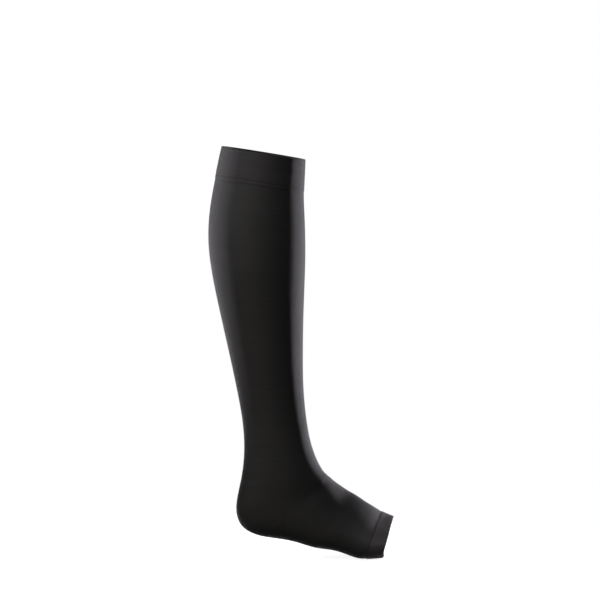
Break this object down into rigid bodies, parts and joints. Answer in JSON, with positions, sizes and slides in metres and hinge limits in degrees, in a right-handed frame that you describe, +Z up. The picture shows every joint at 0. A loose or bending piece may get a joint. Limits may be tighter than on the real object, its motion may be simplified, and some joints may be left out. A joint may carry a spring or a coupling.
{
  "type": "knee-high open-toe compression stocking",
  "caption": "Knee-high compression stocking with an open toe, in its worn form for a right leg: a turned top band, a close knitted leg, a heel gusset and a hemmed toe opening.",
  "frame": {"origin": "centre of the top opening, in the plane of the top rim, where the wearer's leg holds the stocking up", "axes": "+X to the toes, +Z up the leg, +Y to the inner (medial) side of the right leg"},
  "size_m": [0.2055, 0.1041, 0.4559],
  "materials": {
    "leg_knit": "fine circular knit of black polyamide and elastane, matt with a soft sheen",
    "heel_knit": "fine black knit, a little denser, matt",
    "band_knit": "doubled black knit, matt with a soft sheen"
  },
  "bodies": {
    "root": {"top_band": "band_knit", "leg_calf": "leg_knit", "leg_shin": "leg_knit", "leg_ankle": "leg_knit", "heel_gusset": "heel_knit", "foot": "leg_knit", "toe_band": "band_knit"}
  },
  "joints": []
}
